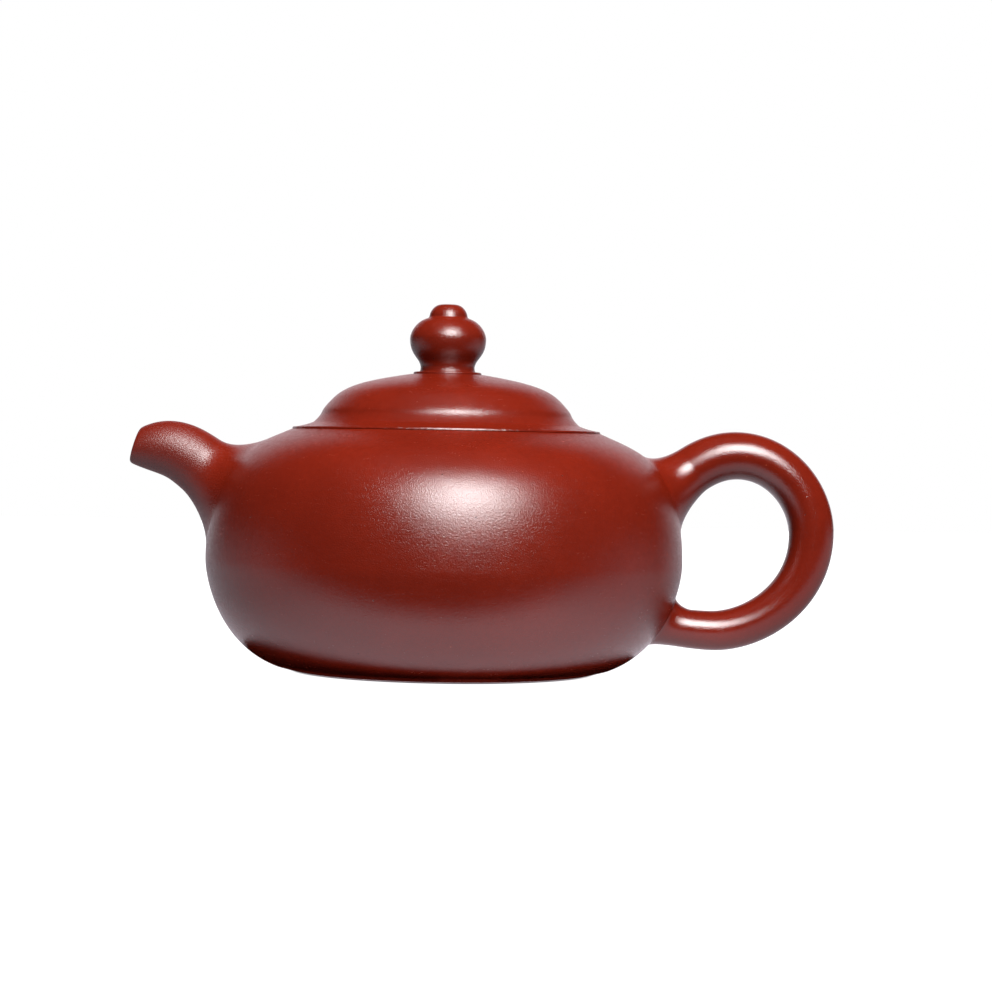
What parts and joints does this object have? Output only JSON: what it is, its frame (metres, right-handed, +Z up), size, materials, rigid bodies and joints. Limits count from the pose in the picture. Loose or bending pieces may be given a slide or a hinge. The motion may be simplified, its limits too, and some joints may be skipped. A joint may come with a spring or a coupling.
{
  "type": "clay teapot",
  "caption": "Small round unglazed clay teapot with a short bent spout, a loop handle and a domed lift-off lid with a round knob, for brewing and pouring tea.",
  "frame": {"origin": "on the surface the pot stands on, under the middle of the whole object's length; the pot's own upright axis is 6.9 mm to the spout's side of it", "axes": "+Z up along the pot's axis, +X towards the handle, -X towards the spout, the pot is symmetric about the X-Z plane"},
  "size_m": [0.134, 0.0902, 0.0696],
  "materials": {
    "clay": "unglazed red-brown stoneware, fine grained, lightly burnished to a satin"
  },
  "bodies": {
    "pot": {"base_disc": "clay", "body_wall": "clay", "shoulder_disc": "clay", "mouth_ring": "clay", "spout": "clay", "strainer": "clay", "handle": "clay"},
    "lid": {"lid_disc": "clay", "lid_dome": "clay", "lid_flange": "clay", "knob_collar": "clay", "knob": "clay", "knob_finial": "clay"}
  },
  "joints": [
    {"name": "lid_lift", "type": "slide", "parent": "pot", "child": "lid", "axis": [0, 0, 1], "range_m": [0, 0.06]}
  ]
}
